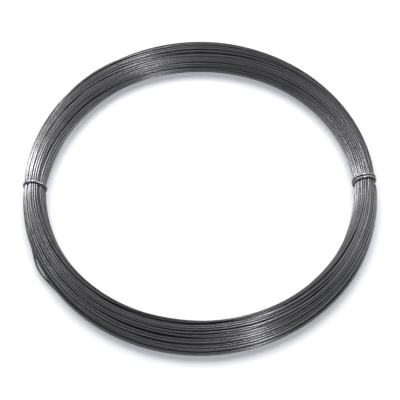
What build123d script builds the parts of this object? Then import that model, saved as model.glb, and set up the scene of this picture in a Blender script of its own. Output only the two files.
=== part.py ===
import os
from math import cos, radians, sin

from build123d import *

# A coil of drawn steel wire lying flat, held by two ties of the same wire.
# The coil's axis is +Z, the floor is z = 0, and the ties stand at -X and +X, a little towards +Y.

# Wire: the stock itself and the ties
wire_d = 2.0

# Open spans midway between the ties, where the turns fan out and lie on the floor
coil_mean_d = 329.0
span_width = 34.0
span_height = 25.5
span_foot_depth = 1.5

# Waists, where the turns are drawn into a round bundle and a tie grips it
shoulder_d = 22.6
waist_d = 20.2
waist_angle = 2.3
fan_power = 1.4
half_span_sections = 9

# Turns that show over the upper end and both sides of the bundle: ridges in ribbons of a few turns,
# which draw apart as the bundle fans out and run over it at a small angle
ribbon_turns = (3, 2, 3, 2, 2, 3, 2, 3, 2)
ribbon_gap_share = 0.8
ribbon_gap_depth = 2.2
ribbon_start_angle = -30.0
ribbon_lay_angle = 9.0
ribbon_sway_angle = 2.5
ribbon_sway_lag = 1.3
ridge_depth = 0.6
under_flats = 4

# Ties: one wrap at -X, two wraps at +X, each turned a little on the bundle
tie_wire_sides = 6
tie_gap = 0.4
tie_floor_gap = 0.3
left_tie_skew = 7.0
right_tie_skew = 4.5
right_tie_pitch = 3.4
right_tie_wraps = 2

# Sizes worked out from those above
coil_mean_r = coil_mean_d / 2
wrap_r = waist_d / 2 + tie_gap + wire_d / 2
waist_centre_z = tie_floor_gap + wrap_r + wire_d / 2
span_full_height = span_height + span_foot_depth
span_centre_z = span_height - span_full_height / 2
ribbon_arc = 180 - 2 * ribbon_start_angle
turn_angle = ribbon_arc / (sum(ribbon_turns) + ribbon_gap_share * len(ribbon_turns))
gap_angle = turn_angle * ribbon_gap_share


def ribbon_lean(turn, ribbon):
    """How far a ribbon leans over the bundle at an angle from the waist: all by the lay, and each by a
    sway of its own, with both running level midway between the ties."""
    along, lag = radians(turn), ribbon * ribbon_sway_lag
    sway = sin(lag) * cos(2 * along) + cos(lag) * sin(3 * along)
    return ribbon_lay_angle * sin(along) + ribbon_sway_angle * sway


def skin_reaches(turn, gap_depth):
    """Angles round the bundle from its outer side, each with its depth under the crowns of the turns:
    a crown for each turn, a groove between two turns, a gap between two ribbons, and flats beneath."""
    reach = ribbon_start_angle
    reaches = [(reach + ribbon_lean(turn, 0), gap_depth)]
    for ribbon, turns in enumerate(ribbon_turns):
        lean = ribbon_lean(turn, ribbon)
        reach += gap_angle / 2
        for crown in range(turns):
            if crown:
                reaches.append((reach + lean, ridge_depth))
            reaches.append((reach + turn_angle / 2 + lean, 0))
            reach += turn_angle
        reach += gap_angle / 2
        reaches.append((reach + (lean + ribbon_lean(turn, ribbon + 1)) / 2, gap_depth))
    for step in range(1, under_flats):
        reaches.append((reach + (360 - ribbon_arc) * step / under_flats, 0))
    return reaches


def bundle_section(turn):
    """The bundle cut at an angle from its waist: an ellipse, in ribbons of turns above and flats beneath."""
    fan_share = abs(sin(radians(turn))) ** fan_power
    round_d = shoulder_d if turn else waist_d
    half_width = (round_d + (span_width - round_d) * fan_share) / 2
    half_height = (round_d + (span_full_height - round_d) * fan_share) / 2
    centre_z = waist_centre_z + (span_centre_z - waist_centre_z) * fan_share
    angle = waist_angle + turn - waist_angle * abs(turn) / 90
    points = []
    for reach, depth in skin_reaches(turn, ridge_depth + (ribbon_gap_depth - ridge_depth) * fan_share):
        across = coil_mean_r + (half_width - depth) * cos(radians(reach))
        points.append((across, centre_z + (half_height - depth) * sin(radians(reach))))
    with BuildSketch(Plane.XZ.rotated((0, 0, angle))) as section:
        with BuildLine():
            Polyline(*points, close=True)
        make_face()
    return section.sketch


def tie_plane(side, skew):
    """Plane across the bundle's waist at one side, x down to the floor and z along the turns."""
    along = radians(waist_angle + skew)
    across, back = coil_mean_r * cos(radians(waist_angle)), coil_mean_r * sin(radians(waist_angle))
    centre = (side * across, back, waist_centre_z)
    return Plane(centre, x_dir=(0, 0, -1), z_dir=(-side * sin(along), cos(along), 0))


# Coil: half of it lofted from one open span through a waist to the next, then mirrored,
# one solid with its bore, and flat where its lowest turns lie on the floor
with BuildPart() as wire_coil:
    for step in range(-half_span_sections, half_span_sections + 1):
        add(bundle_section(90 * step / half_span_sections))
    loft()
    mirror(about=Plane.YZ)
    split(bisect_by=Plane.XY, keep=Keep.TOP)

# Left tie: one closed wrap about its own axis, set on the bundle
with BuildPart() as wrap:
    with BuildSketch(Plane.XZ):
        with Locations((wrap_r, 0)):
            RegularPolygon(wire_d / 2, tie_wire_sides)
    revolve(axis=Axis.Z)

with BuildPart() as tie_left:
    with Locations(tie_plane(-1, left_tie_skew)):
        add(wrap.part)

# Right tie: a short helix about its own axis, set on the bundle with both ends beneath
with BuildPart() as wraps:
    wraps_run = right_tie_pitch * right_tie_wraps
    with BuildLine() as wraps_line:
        Helix(right_tie_pitch, wraps_run, wrap_r, center=(0, 0, -wraps_run / 2))
    with BuildSketch(Plane(wraps_line.line @ 0, z_dir=wraps_line.line % 0)):
        RegularPolygon(wire_d / 2, tie_wire_sides)
    sweep(path=wraps_line.line, is_frenet=True)

with BuildPart() as tie_right:
    with Locations(tie_plane(1, right_tie_skew)):
        add(wraps.part)

wire_coil.part.label = "wire_coil"
tie_left.part.label = "tie_left"
tie_right.part.label = "tie_right"

os.makedirs("parts", exist_ok=True)
export_step(wire_coil.part, "parts/wire_coil.step")
export_step(tie_left.part, "parts/tie_left.step")
export_step(tie_right.part, "parts/tie_right.step")
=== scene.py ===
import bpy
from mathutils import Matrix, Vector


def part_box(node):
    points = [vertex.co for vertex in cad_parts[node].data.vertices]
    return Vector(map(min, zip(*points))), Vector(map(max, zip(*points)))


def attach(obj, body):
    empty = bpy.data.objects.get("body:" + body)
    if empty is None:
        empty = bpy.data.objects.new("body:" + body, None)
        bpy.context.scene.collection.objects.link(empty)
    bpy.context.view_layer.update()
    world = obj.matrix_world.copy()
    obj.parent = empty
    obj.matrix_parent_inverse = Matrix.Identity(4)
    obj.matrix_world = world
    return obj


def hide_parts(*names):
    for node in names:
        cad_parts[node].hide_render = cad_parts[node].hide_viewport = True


bl_info = {
    "name": "Tied wire coil",
    "version": (1, 0, 0),
    "blender": (4, 5, 0),
    "location": "View3D > Sidebar > Wire coil",
    "description": "Lays a steel wire in the turns of a tied coil, wraps its ties and sets its stage",
    "category": "Object",
}

import math

import bpy
import numpy as np
from mathutils import Matrix, Vector

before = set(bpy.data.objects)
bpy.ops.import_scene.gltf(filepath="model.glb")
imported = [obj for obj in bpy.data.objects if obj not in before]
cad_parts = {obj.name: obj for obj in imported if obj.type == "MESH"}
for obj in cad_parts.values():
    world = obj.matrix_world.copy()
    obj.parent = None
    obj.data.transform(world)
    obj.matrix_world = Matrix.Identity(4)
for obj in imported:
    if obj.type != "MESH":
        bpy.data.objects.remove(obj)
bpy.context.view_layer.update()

LEFT_LOW, LEFT_HIGH = (np.array(corner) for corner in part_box("tie_left"))
WRAP_OUTER_R = (LEFT_HIGH[2] - LEFT_LOW[2]) / 2
TIE_Z = (LEFT_HIGH[2] + LEFT_LOW[2]) / 2


class CoilSizes(bpy.types.PropertyGroup):
    """Sizes of the wire and of the ring that its turns make."""

    wire_d: bpy.props.FloatProperty(
        name="Wire diameter", description="Diameter of the drawn wire", default=0.002, unit="LENGTH")
    mean_d: bpy.props.FloatProperty(
        name="Mean diameter", description="Diameter of the ring at the middle of the bundle", default=0.329,
        unit="LENGTH")
    waist_d: bpy.props.FloatProperty(
        name="Waist", description="Diameter of the bundle under a tie", default=0.021, unit="LENGTH")
    shoulder_d: bpy.props.FloatProperty(
        name="Shoulder", description="Diameter of the bundle close beside a tie", default=0.0228,
        unit="LENGTH")
    waist_angle: bpy.props.FloatProperty(
        name="Waist angle", description="How far each waist lies behind the coil's middle",
        default=math.radians(2.3), subtype="ANGLE", unit="ROTATION")
    span_width: bpy.props.FloatProperty(
        name="Span width", description="Width of the fanned bundle midway between the ties", default=0.034,
        unit="LENGTH")
    span_height: bpy.props.FloatProperty(
        name="Span height", description="Height of the fanned bundle above the floor", default=0.0255,
        unit="LENGTH")
    foot_depth: bpy.props.FloatProperty(
        name="Foot depth", description="How far the oval of an open span is pressed flat by the floor",
        default=0.0015, unit="LENGTH")
    end_angle: bpy.props.FloatProperty(
        name="Wire end", description="Angle round the coil at which the outer end of the wire lies",
        default=math.radians(201), subtype="ANGLE", unit="ROTATION")
    wander: bpy.props.FloatProperty(
        name="Wander", description="How far a turn strays from its neighbours in an open span",
        default=0.0003, unit="LENGTH")
    seed: bpy.props.IntProperty(
        name="Seed", description="Start of the random draws for the lie of the turns", default=11)


class TieSizes(bpy.types.PropertyGroup):
    """Sizes of the two wire ties."""

    wire_d: bpy.props.FloatProperty(
        name="Tie wire", description="Diameter of the tie wire", default=0.002, unit="LENGTH")
    left_skew: bpy.props.FloatProperty(
        name="Left skew", description="How far the one-wrap tie is turned on the bundle",
        default=math.radians(7), subtype="ANGLE", unit="ROTATION")
    right_skew: bpy.props.FloatProperty(
        name="Right skew", description="How far the two-wrap tie is turned on the bundle",
        default=math.radians(4.5), subtype="ANGLE", unit="ROTATION")
    right_pitch: bpy.props.FloatProperty(
        name="Wrap pitch", description="Distance between the two wraps", default=0.0034, unit="LENGTH")


class SteelFinish(bpy.types.PropertyGroup):
    """Colours and polish of the wire."""

    dark: bpy.props.FloatVectorProperty(
        name="Dark steel", description="Colour in the dull drawing marks", default=(0.048, 0.048, 0.05),
        size=3, subtype="COLOR", min=0, max=1)
    bright: bpy.props.FloatVectorProperty(
        name="Bright steel", description="Colour on the polished lines", default=(0.096, 0.096, 0.1),
        size=3, subtype="COLOR", min=0, max=1)
    roughness: bpy.props.FloatProperty(
        name="Roughness", description="Roughness of the polished lines", default=0.3, min=0, max=1)


class StageSettings(bpy.types.PropertyGroup):
    """Floor, light and camera."""

    floor_tone: bpy.props.FloatProperty(
        name="Floor", description="Reflectance of the pale floor", default=0.9, min=0, max=1)
    elevation: bpy.props.FloatProperty(
        name="Camera elevation", description="Angle of the view above the floor",
        default=math.radians(58.7), subtype="ANGLE", unit="ROTATION")
    azimuth: bpy.props.FloatProperty(
        name="Camera azimuth", description="Angle of the view to the left of the coil's front",
        default=math.radians(1.27), subtype="ANGLE", unit="ROTATION")
    distance: bpy.props.FloatProperty(
        name="Camera distance", description="Distance from the camera to the coil's middle", default=1.592,
        unit="LENGTH")
    lens: bpy.props.FloatProperty(
        name="Lens", description="Focal length on a sensor 36 mm wide", default=142.9, unit="CAMERA")


# Lie of the turns

RIBBON_TURNS = (3, 2, 3, 2, 2, 3, 2, 3, 2)
RIBBON_GAP_SHARE = 0.8
RIBBON_START = math.radians(-30.0)
RIBBON_LAY = math.radians(9.0)
RIBBON_SWAY = math.radians(2.5)
RIBBON_SWAY_LAG = 1.3
RIBBON_STRAY = math.radians(1.8)
RIBBON_HEAVE = 0.0003
RIBBON_WAVES = 5
WANDER_REACH = 42
UNDER_TURNS = 13
INNER_TURNS = (26, 17, 8)
PACK_OFFSET = (0.27, 0.18)
FAN_POWER = 1.4
LAYER_DEPTH = 0.0018
STEPS = 144
STEP_CROWDING = 0.2
GRIP_LENGTH = 0.006
TUBE_STEPS = 2
TUBE_SIDES = 10
LENGTHS = 3
SETTLE_ROUNDS = 90
GIVE_SHARE = 0.3
DRAW_BACK = 0.03
STIFFNESS = 0.25
TIED_FAN = 0.01
PASS_SHARE = 0.3

# Loose stretches: number of the turn, middle and half length round the ring in degrees, slide round
# the bundle in degrees and lift off it in metres
LOOSE_STRETCHES = (
    (1, 196, 12, 6, 0.0012),
    (1, 208.5, 8, 6, 0.0088),
    (18, 150, 34, 0, 0.0028),
    (19, 150, 36, 0, 0.0036),
    (20, 150, 38, 0, 0.0040),
    (21, 151, 38, 0, 0.0040),
    (22, 151, 36, 0, 0.0036),
    (23, 151, 36, 0, 0.0030),
    (12, 222, 20, -8, 0.0013),
    (15, 262, 36, 16, 0.0017),
    (10, 280, 30, -12, 0.0015),
    (12, 93, 40, 9, 0.0020),
    (8, 132, 34, -12, 0.0010),
    (17, 140, 30, -10, 0.0008),
    (9, 52, 34, 12, 0.0010),
    (14, 312, 34, -14, 0.0010),
    (6, 238, 30, 10, 0.0011),
    (18, 70, 30, -9, 0.0012),
)


def hex_sites(count, pitch):
    """The count points of a triangular grid that lie nearest to its middle, farthest first: rows
    are 0.866 pitch apart, and every other row is moved by half a pitch."""
    reach = int(math.sqrt(count)) + 2
    row, column = np.mgrid[-reach:reach + 1, -reach:reach + 1]
    across = (column + 0.5 * (row % 2) + PACK_OFFSET[0]) * pitch
    up = (row + PACK_OFFSET[1]) * pitch * math.sqrt(3) / 2
    grid = np.stack([across.ravel(), up.ravel()], 1)
    return grid[np.argsort(np.hypot(grid[:, 0], grid[:, 1]), kind="stable")[count - 1::-1]]


def open_sites():
    """Where each turn lies in the cut across an open span, as an angle round the bundle from its
    outer side and a number of layers in from its skin, with the number of its ribbon. On the upper
    skin the turns lie in ribbons, side by side, with a gap between one ribbon and the next; under
    it and in the layers within they are evenly spread."""
    room = np.pi - 2 * RIBBON_START
    pitch = room / (sum(RIBBON_TURNS) + RIBBON_GAP_SHARE * len(RIBBON_TURNS))
    skin, ribbon, at = [], [], RIBBON_START
    for number, turns in enumerate(RIBBON_TURNS):
        at += RIBBON_GAP_SHARE * pitch / 2
        skin += [at + pitch * (turn + 0.5) for turn in range(turns)]
        ribbon += [number] * turns
        at += pitch * turns + RIBBON_GAP_SHARE * pitch / 2
    under = np.pi - RIBBON_START + (2 * np.pi - room) * (np.arange(UNDER_TURNS) + 0.5) / UNDER_TURNS
    angles, layers = [np.array(skin), under], [np.zeros(len(skin) + UNDER_TURNS)]
    ribbons = [np.array(ribbon), len(RIBBON_TURNS) + np.arange(UNDER_TURNS) // 2]
    for layer, turns in enumerate(INNER_TURNS, 1):
        angles.append(RIBBON_START + 2 * np.pi * (np.arange(turns) + 0.5) / turns)
        layers.append(np.full(turns, float(layer)))
        ribbons.append(ribbons[-1].max() + 1 + np.arange(turns) // 3)
    return np.concatenate(angles), np.concatenate(layers), np.concatenate(ribbons)


def tied_sites(layers, wire_d):
    """Where each turn lies under a tie: a close pack, whose outermost sites go to the skin's turns
    and the next to each layer within, in their order round the bundle."""
    pack = hex_sites(len(layers), wire_d)
    round_ = np.mod(np.arctan2(pack[:, 1], pack[:, 0]) - RIBBON_START, 2 * np.pi)
    return pack[np.lexsort((round_, layers))]


def slow_noise(rng, count, reach):
    """A smooth random run of unit spread: white noise averaged under a raised cosine."""
    window = 0.5 - 0.5 * np.cos(2 * np.pi * (np.arange(reach) + 0.5) / reach)
    run = np.convolve(rng.normal(size=count + reach), window, "same")[:count]
    return run / math.sqrt((window ** 2).sum())


def ring_noise(rng, rows, steps, waves):
    """Smooth closed random runs of unit spread, one a row: a sum of whole waves round the ring."""
    turn = 2 * np.pi * np.arange(steps) / steps
    wave = np.arange(2, 2 + waves)[None, :, None]
    size = rng.normal(size=(rows, waves, 1))
    lag = rng.uniform(0, 2 * np.pi, (rows, waves, 1))
    return (size * np.sin(wave * turn + lag)).sum(1) / math.sqrt(waves / 2)


def opening(angle, sizes):
    """How far the bundle is open at an angle round the ring, 0 at a waist and 1 midway between the
    two: a power of the sine of the share of the way from one waist to the next. Beside it, how
    firmly a tie grips there, a bell of the distance to the nearest waist, and the angle from that
    waist, a right angle midway round the back and less than nothing round the front."""
    back = np.pi - 2 * sizes.waist_angle
    past = np.mod(angle - sizes.waist_angle, 2 * np.pi)
    behind = past < back
    share = np.where(behind, past / back, (past - back) / (2 * np.pi - back))
    away = np.minimum(np.minimum(past, 2 * np.pi - past), np.abs(past - back)) * sizes.mean_d / 2
    along = np.pi * np.minimum(share, 1 - share)
    return np.sin(along) ** FAN_POWER, np.exp(-(away / GRIP_LENGTH) ** 2), np.where(behind, along, -along)


def ribbon_lean(along, ribbon):
    """How far a ribbon leans over the bundle at an angle from the waist: all of them by the lay, and
    each by a sway of its own, with both running level midway between the ties."""
    lag = ribbon * RIBBON_SWAY_LAG
    sway = np.sin(lag) * np.cos(2 * along) + np.cos(lag) * np.sin(3 * along)
    return RIBBON_LAY * np.sin(along) + RIBBON_SWAY * sway * (ribbon < len(RIBBON_TURNS))


def loose_turns(number, angle):
    """How far each turn slides round the bundle and lifts off it: a raised cosine about the place of
    each loose stretch in the list, on the turn that it names, counted from the outer one."""
    slide, lift = np.zeros(len(angle)), np.zeros(len(angle))
    for turn, middle, half_length, slide_angle, height in LOOSE_STRETCHES:
        off = np.mod(angle - math.radians(middle) + np.pi, 2 * np.pi) - np.pi
        bell = (number == turn) * np.cos(np.clip(off / math.radians(half_length), -1, 1) * np.pi / 2) ** 2
        slide += math.radians(slide_angle) * bell
        lift += height * bell
    return slide, lift


def settle(aim, turns, sizes, fan, grip):
    """Lets the turns push each other apart. In each cut across the bundle, two turns nearer than
    a wire's diameter each give way by a share of the overlap, all are drawn back a little to where
    they aim, the floor and the ties hold them in, and the wire's own stiffness evens its line."""
    place = aim.copy()
    middle = np.array([0.0, TIE_Z])
    hold = (sizes.shoulder_d + (sizes.waist_d - sizes.shoulder_d) * grip - sizes.wire_d)[:, None] / 2
    tight = (fan < TIED_FAN)[:, None]
    for _ in range(SETTLE_ROUNDS):
        lanes = place.reshape(turns, STEPS, 2).transpose(1, 0, 2)
        apart = lanes[:, :, None] - lanes[:, None]
        reach = np.sqrt((apart ** 2).sum(-1)) + 1e-9
        give = np.clip(sizes.wire_d - reach, 0, None) / reach * GIVE_SHARE
        move = (apart * give[..., None]).sum(2)
        place += move.transpose(1, 0, 2).reshape(-1, 2)
        place += DRAW_BACK * (aim - place)
        place[1:-1] += STIFFNESS * ((place[2:] + place[:-2]) / 2 - place[1:-1])
        off = place - middle
        far = np.maximum(np.hypot(off[:, 0], off[:, 1])[:, None], 1e-9)
        place = np.where(tight & (far > hold), middle + off * hold / far, place)
        place[:, 1] = np.maximum(place[:, 1], sizes.wire_d / 2)
    return place


def turn_line(sizes):
    """Middle line of the whole wire, from its inner end to its outer one. It goes round the ring once
    a turn, and near the right waist it passes from one site of the bundle's cut to the next. The cut
    is a close pack at the ties and opens between them to an oval, where ribbons stray and heave and
    single turns stray within them. A few turns leave their place, also close to a tie."""
    rng = np.random.default_rng(sizes.seed)
    around, layers, ribbons = (values[::-1] for values in open_sites())
    tied = tied_sites(layers[::-1], sizes.wire_d)[::-1]
    turns = len(around) - 1

    turn = np.arange(turns * STEPS) / STEPS
    even = sizes.end_angle + 2 * np.pi * turn
    angle = even - STEP_CROWDING * np.sin(2 * even)
    fan, grip, along = opening(angle, sizes)
    at, step = np.divmod(np.arange(turns * STEPS), STEPS)
    waist_turn = 1 - sizes.end_angle / (2 * np.pi)
    pass_on = np.clip((turn - at - waist_turn) / PASS_SHARE + 0.5, 0, 1)
    pass_on = pass_on * pass_on * (3 - 2 * pass_on)

    def passing(here, after):
        """What holds at one site passing into what holds at the next."""
        return here * (1 - pass_on) + after * pass_on

    stray = ring_noise(rng, ribbons.max() + 1, STEPS, RIBBON_WAVES) * RIBBON_STRAY
    heave = ring_noise(rng, ribbons.max() + 1, STEPS, RIBBON_WAVES) * RIBBON_HEAVE
    sites = (at, at + 1)
    lean = [around[site] + ribbon_lean(along, ribbons[site]) + stray[ribbons[site], step]
            for site in sites]
    rise = [heave[ribbons[site], step] - LAYER_DEPTH * layers[site] for site in sites]
    slide, lift = loose_turns(turns - at, angle)
    reach = passing(*lean) + slide
    depth = sizes.wire_d / 2 - passing(*rise) - lift
    loose = np.stack([slow_noise(rng, len(turn), WANDER_REACH) for _ in range(2)], 1) * sizes.wander

    half_width = sizes.span_width / 2 - depth
    half_height = (sizes.span_height + sizes.foot_depth) / 2 - depth
    opened = np.stack([half_width * np.cos(reach), half_height * np.sin(reach)], 1) + loose
    swell = 1 + (sizes.shoulder_d / sizes.waist_d - 1) * (1 - grip)
    held = np.stack([passing(tied[at, side], tied[at + 1, side]) * swell for side in (0, 1)], 1)
    cut = held + (opened - held) * fan[:, None]
    cut += np.stack([np.cos(reach), np.sin(reach)], 1) * (lift * (1 - fan))[:, None]
    cut[:, 1] += TIE_Z + ((sizes.span_height - sizes.foot_depth) / 2 - TIE_Z) * fan
    cut = settle(cut, turns, sizes, fan, grip)
    return finer(np.column_stack([cut, angle]), TUBE_STEPS)


def finer(points, parts):
    """Points put evenly between those given, on the cubic through each four neighbours."""
    ends = np.vstack([2 * points[0] - points[1], points, 2 * points[-1] - points[-2]])
    a, b, c, d = ends[:-3, None], ends[1:-2, None], ends[2:-1, None], ends[3:, None]
    s = (np.arange(parts) / parts)[None, :, None]
    run = b + 0.5 * s * (c - a + s * (2 * a - 5 * b + 4 * c - d + s * (3 * (b - c) + d - a)))
    return np.vstack([run.reshape(-1, points.shape[1]), points[-1]])


def ring_points(line, mean_r):
    """Points in space of a line given as distance out from the ring's middle, height and angle."""
    out = mean_r + line[:, 0]
    return np.stack([out * np.cos(line[:, 2]), out * np.sin(line[:, 2]), line[:, 1]], 1)


# Meshes

STRIP_MARGIN = 0.04


def tube_grid(path, radius, sides):
    """Grid of points round a path: at each point of it a circle square to the path, started from
    the upward side, so that rows run along the wire and columns round it."""
    along = np.gradient(path, axis=0)
    along /= np.linalg.norm(along, axis=1)[:, None]
    side = np.cross(along, np.array([0.0, 0.0, 1.0]))
    side /= np.linalg.norm(side, axis=1)[:, None]
    up = np.cross(side, along)
    turn = 2 * np.pi * np.arange(sides) / sides
    round_ = np.cos(turn)[None, :, None] * up[:, None] + np.sin(turn)[None, :, None] * side[:, None]
    return path[:, None] + radius * round_


def tube_mesh(name, grid, along, steps_in_turn, tone):
    """Closed tube from a grid of points: a quad between neighbours, and a flat face on each end.
    Its first map gives the length along the wire in turns and the share of the way round it. The
    other lays each turn in a strip of its own."""
    rows, sides = grid.shape[:2]
    row, side = np.mgrid[0:rows - 1, 0:sides]
    row, side = row.ravel(), side.ravel()
    after = (side + 1) % sides
    here, ahead = row * sides, (row + 1) * sides
    quads = np.stack([here + side, here + after, ahead + after, ahead + side], 1)
    caps = [list(range(sides - 1, -1, -1)), list(range((rows - 1) * sides, rows * sides))]
    mesh = bpy.data.meshes.new(name)
    mesh.from_pydata(grid.reshape(-1, 3), [], quads.tolist() + caps)
    smooth = np.ones(len(mesh.polygons), bool)
    smooth[-2:] = False
    mesh.polygons.foreach_set("use_smooth", smooth)

    next_row = np.array([0, 0, 1, 1])
    next_side = np.array([0, 1, 1, 0])
    run = along[row[:, None] + next_row]
    round_ = (side[:, None] + next_side) / sides
    strips = math.ceil((rows - 1) / steps_in_turn)
    strip = row // steps_in_turn
    step = (row - strip * steps_in_turn)[:, None] + next_row
    lengthways = np.stack([run, round_], -1).reshape(-1, 2)
    within = STRIP_MARGIN + (1 - 2 * STRIP_MARGIN) * round_
    stripes = np.stack([step / steps_in_turn, (strip[:, None] + within) / strips], -1).reshape(-1, 2)
    caps_at = np.zeros((2 * sides, 2))
    for map_name, places in (("WireLength", lengthways), ("OFBake", stripes)):
        layer = mesh.uv_layers.new(name=map_name)
        layer.data.foreach_set("uv", np.vstack([places, caps_at]).astype(np.float32).ravel())
    # Tone that varies at random along the turns; on the ties it is a painted highlight
    mesh.attributes.new("tone_and_tie_highlight", "FLOAT", "POINT").data.foreach_set(
        "value", np.repeat(tone, sides).astype(np.float32))
    mesh.update()
    mesh.validate()
    return mesh


def show(mesh, material, nodes):
    """Puts a mesh in the scene as a piece of the coil that stands for the CAD nodes."""
    piece = bpy.data.objects.new(mesh.name, mesh)
    bpy.context.scene.collection.objects.link(piece)
    mesh.materials.append(material)
    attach(piece, "root")
    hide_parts(*nodes)
    return piece


# Finishes: scale of the drawn lines along the wire, scale of the film and added roughness
WIRE_FINISH = (5.0, 40.0, 0.0)
TIE_FINISH = (1.5, 60.0, 0.06)
GLOSS_SPREAD = 0.8
GLOSS_TURN = 0.25
FILM_SHADE = 0.8
FILM_ROUGHNESS = 0.05
LINE_ROUGHNESS = 0.05
BUMP_STRENGTH = 0.1
BUMP_DEPTH = 0.00004


def new_group(name, inputs, outputs):
    """Empty shader node group with named sockets; inputs hold (name, default)."""
    group = bpy.data.node_groups.new(name, "ShaderNodeTree")
    for socket, default in inputs:
        made = group.interface.new_socket(socket, in_out="INPUT", socket_type="NodeSocketFloat")
        made.default_value = default
    for socket in outputs:
        group.interface.new_socket(socket, in_out="OUTPUT", socket_type="NodeSocketFloat")
    return group, group.nodes.new("NodeGroupInput"), group.nodes.new("NodeGroupOutput")


def drawn_lines_group():
    """Lines that the drawing die leaves: noise stretched along the wire and fine round it."""
    if "Drawn lines" in bpy.data.node_groups:
        return bpy.data.node_groups["Drawn lines"]
    group, given, out = new_group("Drawn lines", [("Along", 5.0), ("Round", 9.0)], ["Lines"])
    place = group.nodes.new("ShaderNodeUVMap")
    place.uv_map = "WireLength"
    stretch = group.nodes.new("ShaderNodeCombineXYZ")
    scale = group.nodes.new("ShaderNodeVectorMath")
    scale.operation = "MULTIPLY"
    noise = group.nodes.new("ShaderNodeTexNoise")
    noise.inputs["Scale"].default_value = 1.0
    noise.inputs["Detail"].default_value = 4.0
    noise.inputs["Roughness"].default_value = 0.6
    level = group.nodes.new("ShaderNodeMapRange")
    level.inputs["From Min"].default_value = 0.32
    level.inputs["From Max"].default_value = 0.68
    link = group.links.new
    link(given.outputs["Along"], stretch.inputs["X"])
    link(given.outputs["Round"], stretch.inputs["Y"])
    link(place.outputs["UV"], scale.inputs[0])
    link(stretch.outputs["Vector"], scale.inputs[1])
    link(scale.outputs["Vector"], noise.inputs["Vector"])
    link(noise.outputs["Fac"], level.inputs["Value"])
    link(level.outputs["Result"], out.inputs["Lines"])
    return group


def dull_film_group():
    """Patches of dull film left by the drawing soap: slow noise over the piece, cut to a soft mask."""
    if "Dull film" in bpy.data.node_groups:
        return bpy.data.node_groups["Dull film"]
    group, given, out = new_group("Dull film", [("Scale", 55.0), ("Start", 0.48), ("Full", 0.7)], ["Film"])
    place = group.nodes.new("ShaderNodeTexCoord")
    noise = group.nodes.new("ShaderNodeTexNoise")
    noise.inputs["Detail"].default_value = 2.0
    noise.inputs["Roughness"].default_value = 0.62
    level = group.nodes.new("ShaderNodeMapRange")
    link = group.links.new
    link(place.outputs["Object"], noise.inputs["Vector"])
    link(given.outputs["Scale"], noise.inputs["Scale"])
    link(noise.outputs["Fac"], level.inputs["Value"])
    link(given.outputs["Start"], level.inputs["From Min"])
    link(given.outputs["Full"], level.inputs["From Max"])
    link(level.outputs["Result"], out.inputs["Film"])
    return group


def steel_material(name, finish, along, film_scale, rough_add):
    """Drawn steel: dark and bright along the drawing lines, each turn a little lighter or darker
    than the next, and rougher and darker under patches of film. On the ties the same steel is made
    three times lighter, a painted highlight. Its gloss is drawn out across the length of the wire, round it."""
    material = bpy.data.materials.new(name)
    material.use_nodes = True
    nodes, link = material.node_tree.nodes, material.node_tree.links.new
    steel = nodes["Principled BSDF"]
    steel.inputs["Metallic"].default_value = 1.0
    steel.inputs["Anisotropic"].default_value = GLOSS_SPREAD
    steel.inputs["Anisotropic Rotation"].default_value = GLOSS_TURN
    length = nodes.new("ShaderNodeTangent")
    length.direction_type = "UV_MAP"
    length.uv_map = "WireLength"
    link(length.outputs["Tangent"], steel.inputs["Tangent"])
    lines = nodes.new("ShaderNodeGroup")
    lines.node_tree = drawn_lines_group()
    lines.inputs["Along"].default_value = along
    film = nodes.new("ShaderNodeGroup")
    film.node_tree = dull_film_group()
    film.inputs["Scale"].default_value = film_scale
    # Tone: random on the turns, a painted highlight on the ties
    tone = nodes.new("ShaderNodeAttribute")
    tone.attribute_name = "tone_and_tie_highlight"

    polish = nodes.new("ShaderNodeMix")
    polish.data_type = "RGBA"
    polish.inputs["A"].default_value = (*finish.dark, 1)
    polish.inputs["B"].default_value = (*finish.bright, 1)
    link(lines.outputs["Lines"], polish.inputs["Factor"])
    shade = nodes.new("ShaderNodeMapRange")
    shade.inputs["To Min"].default_value = 1.0
    shade.inputs["To Max"].default_value = FILM_SHADE
    link(film.outputs["Film"], shade.inputs["Value"])
    level = nodes.new("ShaderNodeMath")
    level.operation = "MULTIPLY"
    link(shade.outputs["Result"], level.inputs[0])
    link(tone.outputs["Fac"], level.inputs[1])
    colour = nodes.new("ShaderNodeVectorMath")
    colour.operation = "SCALE"
    link(polish.outputs["Result"], colour.inputs[0])
    link(level.outputs["Value"], colour.inputs["Scale"])
    link(colour.outputs["Vector"], steel.inputs["Base Color"])

    rough = nodes.new("ShaderNodeMapRange")
    rough.inputs["To Min"].default_value = finish.roughness + rough_add + LINE_ROUGHNESS
    rough.inputs["To Max"].default_value = finish.roughness + rough_add
    link(lines.outputs["Lines"], rough.inputs["Value"])
    dulled = nodes.new("ShaderNodeMath")
    dulled.operation = "MULTIPLY_ADD"
    dulled.inputs[1].default_value = FILM_ROUGHNESS
    link(film.outputs["Film"], dulled.inputs[0])
    link(rough.outputs["Result"], dulled.inputs[2])
    link(dulled.outputs["Value"], steel.inputs["Roughness"])

    bump = nodes.new("ShaderNodeBump")
    bump.inputs["Strength"].default_value = BUMP_STRENGTH
    bump.inputs["Distance"].default_value = BUMP_DEPTH
    link(lines.outputs["Lines"], bump.inputs["Height"])
    link(bump.outputs["Normal"], steel.inputs["Normal"])
    return material


# Pieces

TONE_SPREAD = 0.16
TONE_LIMITS = (0.6, 1.5)
# Painted highlight: the ties' steel is made three times lighter than the turns', in place of the light they
# catch
TIE_HIGHLIGHT_TONE = 3.0
TIE_STEPS = 96
TIE_SIDES = 14
RIGHT_WRAPS = 2


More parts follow.
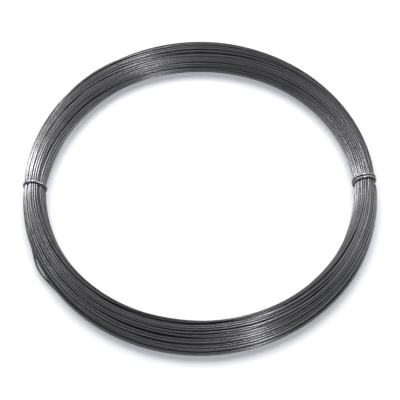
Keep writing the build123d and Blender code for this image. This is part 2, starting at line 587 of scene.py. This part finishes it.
class WIRECOIL_OT_turns(bpy.types.Operator):
    """Lay the wire in its turns, in three lengths end to end"""

    bl_idname = "wirecoil.turns"
    bl_label = "Lay turns"

    def execute(self, context):
        sizes = context.scene.coil_sizes
        steel = steel_material("drawn_wire", context.scene.steel_finish, *WIRE_FINISH)
        line = turn_line(sizes)
        path = ring_points(line, sizes.mean_d / 2)
        rng = np.random.default_rng(sizes.seed + 1)
        steps_in_turn = STEPS * TUBE_STEPS
        tone = np.clip(1 + TONE_SPREAD * slow_noise(rng, len(path), steps_in_turn), *TONE_LIMITS)
        cuts = np.linspace(0, len(path) // steps_in_turn, LENGTHS + 1).round().astype(int)
        cuts *= steps_in_turn
        cuts[-1] = len(path) - 1
        grid = tube_grid(path, sizes.wire_d / 2, TUBE_SIDES)
        along = np.arange(len(path)) / steps_in_turn
        for number, (start, stop) in enumerate(zip(cuts[:-1], cuts[1:]), 1):
            part = slice(start, stop + 1)
            mesh = tube_mesh(f"wire_turns_{number}", grid[part], along[part], steps_in_turn, tone[part])
            show(mesh, steel, ["wire_coil"])
        return {"FINISHED"}


def tie_path(side, skew, run, wraps, radius, middle):
    """Path of a tie: a helix of so many wraps about a level line through the bundle's middle, turned
    by the skew from the line of sight along +Y, with its ends beneath."""
    turn = 2 * np.pi * np.linspace(0, wraps, TIE_STEPS * wraps + 1)
    on = np.array([-side * math.sin(skew), math.cos(skew), 0.0])
    down = np.array([0.0, 0.0, -1.0])
    across = np.cross(on, down)
    level = (turn / turn[-1] - 0.5) * run
    hoop = np.cos(turn)[:, None] * down + np.sin(turn)[:, None] * across
    return middle + radius * hoop + level[:, None] * on


def hoop_grid(path, middle, radius, sides):
    """Grid of points round a tie's path, each circle started on the side away from its middle."""
    along = np.gradient(path, axis=0)
    along /= np.linalg.norm(along, axis=1)[:, None]
    out = path - middle
    out -= (out * along).sum(1)[:, None] * along
    out /= np.linalg.norm(out, axis=1)[:, None]
    side = np.cross(along, out)
    turn = 2 * np.pi * np.arange(sides) / sides
    return path[:, None] + radius * (
        np.cos(turn)[None, :, None] * out[:, None] + np.sin(turn)[None, :, None] * side[:, None])


class WIRECOIL_OT_ties(bpy.types.Operator):
    """Wrap the two wire ties round the bundle"""

    bl_idname = "wirecoil.ties"
    bl_label = "Wrap ties"

    def execute(self, context):
        ties, coil = context.scene.tie_sizes, context.scene.coil_sizes
        steel = steel_material("tie_wire", context.scene.steel_finish, *TIE_FINISH)
        mean_r = coil.mean_d / 2
        wrap_r = WRAP_OUTER_R - ties.wire_d / 2
        for name, side, skew, wraps, run in (
                ("tie_left", -1, ties.left_skew, 1, 0.0),
                ("tie_right", 1, ties.right_skew, RIGHT_WRAPS, RIGHT_WRAPS * ties.right_pitch)):
            middle = np.array(
                [side * mean_r * math.cos(coil.waist_angle), mean_r * math.sin(coil.waist_angle), TIE_Z])
            path = tie_path(side, coil.waist_angle + skew, run, wraps, wrap_r, middle)
            grid = hoop_grid(path, middle, ties.wire_d / 2, TIE_SIDES)
            along = np.linspace(0, wraps, len(path))
            # The ties take a tone three times that of the turns: a painted highlight
            mesh = tube_mesh(name + "_wire", grid, along, TIE_STEPS, np.full(len(path), TIE_HIGHLIGHT_TONE))
            show(mesh, steel, [name])
        return {"FINISHED"}


# Stage

FLOOR_HALF = 4.0
FLOOR_GLOW = 0.4
FLOOR_GLOW_COLOUR = (0.91, 0.94, 1.0)
WORLD_LEVEL = 0.05
CAMERA_AIM = (0.0, -0.0042, 0.0)
SENSOR_WIDTH = 36.0

# Floor lamp: direction from the coil, distance, width and height in metres, and brightness
FLOOR_LIGHT = ((-0.06, 0.22, 0.97), 4.0, 3.4, 2.2, 5.6)

# Strip lamps: name, angle of the glint round the coil and elevation in degrees, distance, width and
# height in metres, and brightness
STRIP_LIGHTS = (
    ("side_strip", 176.5, 35, 0.9, 0.1, 1.0, 45.0),
    ("left_glow", 208, 40, 1.0, 0.3, 1.3, 0.7),
    ("right_glow", 342, 45, 0.6, 0.26, 0.8, 3.3),
    ("front_strip", 287.5, 50, 1.0, 0.06, 2.2, 32.0),
)


def seen_rays(nodes, link):
    """Socket that is 1 for what is seen directly, in a reflection or through something clear, and 0
    for the light that falls on matt surfaces."""
    path = nodes.new("ShaderNodeLightPath")
    mirrored = nodes.new("ShaderNodeMath")
    mirrored.operation = "MAXIMUM"
    either = nodes.new("ShaderNodeMath")
    either.operation = "MAXIMUM"
    link(path.outputs["Is Camera Ray"], mirrored.inputs[0])
    link(path.outputs["Is Glossy Ray"], mirrored.inputs[1])
    link(mirrored.outputs["Value"], either.inputs[0])
    link(path.outputs["Is Transmission Ray"], either.inputs[1])
    return either.outputs["Value"]


def floor_material(tone, glow):
    """Pale floor that takes the shadow, with a little light of its own where it is seen, so that it
    is white."""
    material = bpy.data.materials.new("pale_floor")
    material.use_nodes = True
    nodes, link = material.node_tree.nodes, material.node_tree.links.new
    nodes.remove(nodes["Principled BSDF"])
    matt = nodes.new("ShaderNodeBsdfDiffuse")
    matt.inputs["Color"].default_value = (tone, tone, tone, 1)
    light = nodes.new("ShaderNodeEmission")
    light.inputs["Color"].default_value = (*FLOOR_GLOW_COLOUR, 1)
    both = nodes.new("ShaderNodeAddShader")
    strength = nodes.new("ShaderNodeMath")
    strength.operation = "MULTIPLY"
    strength.inputs[1].default_value = glow
    link(seen_rays(nodes, link), strength.inputs[0])
    link(strength.outputs["Value"], light.inputs["Strength"])
    link(matt.outputs["BSDF"], both.inputs[0])
    link(light.outputs["Emission"], both.inputs[1])
    link(both.outputs["Shader"], nodes["Material Output"].inputs["Surface"])
    return material


def world_light(level):
    """World that is white where it is seen, and an even, plain light of a lower level otherwise."""
    world = bpy.data.worlds.new("even_light")
    bpy.context.scene.world = world
    world.use_nodes = True
    nodes, link = world.node_tree.nodes, world.node_tree.links.new
    strength = nodes.new("ShaderNodeMapRange")
    strength.inputs["To Min"].default_value = level
    link(seen_rays(nodes, link), strength.inputs["Value"])
    link(strength.outputs["Result"], nodes["Background"].inputs["Strength"])
    nodes["Background"].inputs["Color"].default_value = (1, 1, 1, 1)


def soft_box(name, toward, distance, width, height, brightness, matt=False):
    """Area lamp that faces the coil from a direction, with so much light for each square metre. One
    for matt surfaces lights the floor and draws the shadow; the others are seen in the steel."""
    lamp = bpy.data.lights.new(name, "AREA")
    lamp.shape = "RECTANGLE"
    lamp.size, lamp.size_y = width, height
    lamp.energy = brightness * math.pi * width * height
    holder = bpy.data.objects.new(name, lamp)
    bpy.context.scene.collection.objects.link(holder)
    toward = Vector(toward).normalized()
    holder.location = toward * distance
    holder.rotation_euler = toward.to_track_quat("Z", "Y").to_euler()
    holder.visible_glossy, holder.visible_diffuse = not matt, matt
    holder.visible_camera = False
    return holder


def camera_way(stage):
    """Direction from the coil to the camera."""
    level = math.cos(stage.elevation)
    return Vector(
        (-math.sin(stage.azimuth) * level, -math.cos(stage.azimuth) * level, math.sin(stage.elevation)))


def strip_light(name, stage, glint, elevation, distance, width, height, brightness):
    """Strip lamp whose glint lies on the turns at an angle round the coil. It stands where the line
    halfway between it and the camera is square to the turns there, and its narrow side is along them."""
    out = Vector((math.cos(glint), math.sin(glint), 0.0))
    along = Vector((-math.sin(glint), math.cos(glint), 0.0))
    view = camera_way(stage)
    level = Vector((view.x, view.y, 0.0))
    reach = level.dot(out) + math.sqrt(level.dot(out) ** 2 + math.cos(elevation) ** 2 - level.length_squared)
    toward = reach * out - level + Vector((0.0, 0.0, math.sin(elevation)))
    holder = soft_box(name, toward, distance, width, height, brightness)
    narrow = (along - along.dot(toward) * toward).normalized()
    holder.rotation_euler = Matrix((narrow, toward.cross(narrow), toward)).transposed().to_euler()
    return holder


class WIRECOIL_OT_stage(bpy.types.Operator):
    """Set the floor, the light and the camera"""

    bl_idname = "wirecoil.stage"
    bl_label = "Set stage"

    def execute(self, context):
        scene, stage = context.scene, context.scene.stage_settings
        mesh = bpy.data.meshes.new("floor")
        half = FLOOR_HALF
        corners = [(-half, -half, 0), (half, -half, 0), (half, half, 0), (-half, half, 0)]
        mesh.from_pydata(corners, [], [(0, 1, 2, 3)])
        mesh.materials.append(floor_material(stage.floor_tone, FLOOR_GLOW))
        floor = bpy.data.objects.new("floor", mesh)
        scene.collection.objects.link(floor)

        world_light(WORLD_LEVEL)
        soft_box("floor_light", *FLOOR_LIGHT, matt=True)
        for name, glint, elevation, distance, width, height, brightness in STRIP_LIGHTS:
            strip_light(
                name, stage, math.radians(glint), math.radians(elevation), distance,
                width, height, brightness)

        lens = bpy.data.cameras.new("camera")
        lens.lens, lens.sensor_width = stage.lens, SENSOR_WIDTH
        camera = bpy.data.objects.new("camera", lens)
        scene.collection.objects.link(camera)
        toward = camera_way(stage)
        aim = Vector(CAMERA_AIM)
        camera.location = aim + toward * stage.distance
        camera.rotation_euler = toward.to_track_quat("Z", "Y").to_euler()
        scene.camera = camera
        scene.view_settings.view_transform = "Standard"
        return {"FINISHED"}


class WIRECOIL_PT_panel(bpy.types.Panel):
    """Sidebar panel with the coil's sizes, finish and steps"""

    bl_idname = "WIRECOIL_PT_panel"
    bl_label = "Wire coil"
    bl_space_type = "VIEW_3D"
    bl_region_type = "UI"
    bl_category = "Wire coil"

    def draw(self, context):
        scene = context.scene
        for settings, step in ((scene.coil_sizes, "wirecoil.turns"), (scene.tie_sizes, "wirecoil.ties"),
                               (scene.steel_finish, None), (scene.stage_settings, "wirecoil.stage")):
            box = self.layout.box()
            for name in settings.__annotations__:
                box.prop(settings, name)
            if step:
                box.operator(step)


GROUPS = {
    "coil_sizes": CoilSizes, "tie_sizes": TieSizes, "steel_finish": SteelFinish,
    "stage_settings": StageSettings}
CLASSES = (*GROUPS.values(), WIRECOIL_OT_turns, WIRECOIL_OT_ties, WIRECOIL_OT_stage, WIRECOIL_PT_panel)


def register():
    for cls in CLASSES:
        bpy.utils.register_class(cls)
    for name, cls in GROUPS.items():
        setattr(bpy.types.Scene, name, bpy.props.PointerProperty(type=cls))


def unregister():
    for name in GROUPS:
        delattr(bpy.types.Scene, name)
    for cls in reversed(CLASSES):
        bpy.utils.unregister_class(cls)


def main():
    """Registers the add-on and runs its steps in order."""
    register()
    bpy.ops.wirecoil.turns()
    bpy.ops.wirecoil.ties()
    bpy.ops.wirecoil.stage()


if __name__ == "__main__":
    main()
